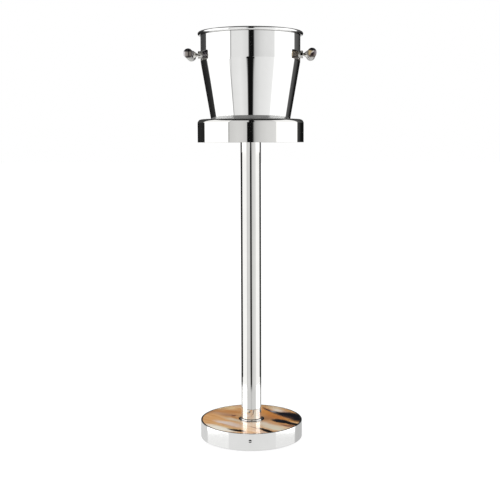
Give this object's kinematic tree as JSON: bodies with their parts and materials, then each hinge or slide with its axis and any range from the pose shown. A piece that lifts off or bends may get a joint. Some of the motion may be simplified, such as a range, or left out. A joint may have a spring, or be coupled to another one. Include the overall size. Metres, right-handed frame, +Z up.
{
  "type": "champagne bucket stand",
  "caption": "Floor stand with a round weighted base, a straight column and a round holder, carrying a loose tapered wine bucket with T-bar handles.",
  "frame": {"origin": "on the floor, under the middle of the base", "axes": "+Z up along the column, +X towards the right handle, -Y towards the front screw of the base"},
  "size_m": [0.2684, 0.2194, 0.848],
  "materials": {
    "polished_steel": "mirror-polished steel",
    "horn_inlay": "natural horn, polished and lacquered",
    "horn_dark": "dark natural horn, polished",
    "iron_core": "painted cast iron",
    "zinc_fastener": "zinc plated",
    "cover_plate": "brushed steel sheet",
    "backing_board": "birch plywood",
    "black_felt": "pressed felt",
    "black_rubber": "matt rubber"
  },
  "bodies": {
    "stand": {"base_pad": "black_rubber", "base_cover": "cover_plate", "cover_screws": "zinc_fastener", "base_core": "iron_core", "base_band": "polished_steel", "band_screw": "polished_steel", "inlay_backing": "backing_board", "horn_disc": "horn_inlay", "column_foot_ring": "polished_steel", "column_tube": "polished_steel", "column_plug_lower": "zinc_fastener", "column_plug_upper": "zinc_fastener", "column_washer": "zinc_fastener", "column_bolt": "zinc_fastener", "holder_shell": "polished_steel", "holder_floor": "cover_plate", "holder_screws": "zinc_fastener"},
    "seat": {"seat_pad": "black_felt"},
    "bucket": {"bucket_shell": "polished_steel", "handle_boss_right": "polished_steel", "handle_stem_right": "polished_steel", "handle_bar_right": "horn_dark", "handle_stud_right": "zinc_fastener", "handle_seal_right": "black_rubber", "handle_nut_right": "polished_steel", "handle_boss_left": "polished_steel", "handle_stem_left": "polished_steel", "handle_bar_left": "horn_dark", "handle_stud_left": "zinc_fastener", "handle_seal_left": "black_rubber", "handle_nut_left": "polished_steel"}
  },
  "joints": [
    {"name": "bucket_turn", "type": "hinge", "parent": "stand", "child": "seat", "pos_m": [0, 0, 0.63], "axis": [0, 0, 1], "continuous": true},
    {"name": "bucket_lift", "type": "slide", "parent": "seat", "child": "bucket", "axis": [0, 0, 1], "range_m": [0, 0.12]}
  ]
}
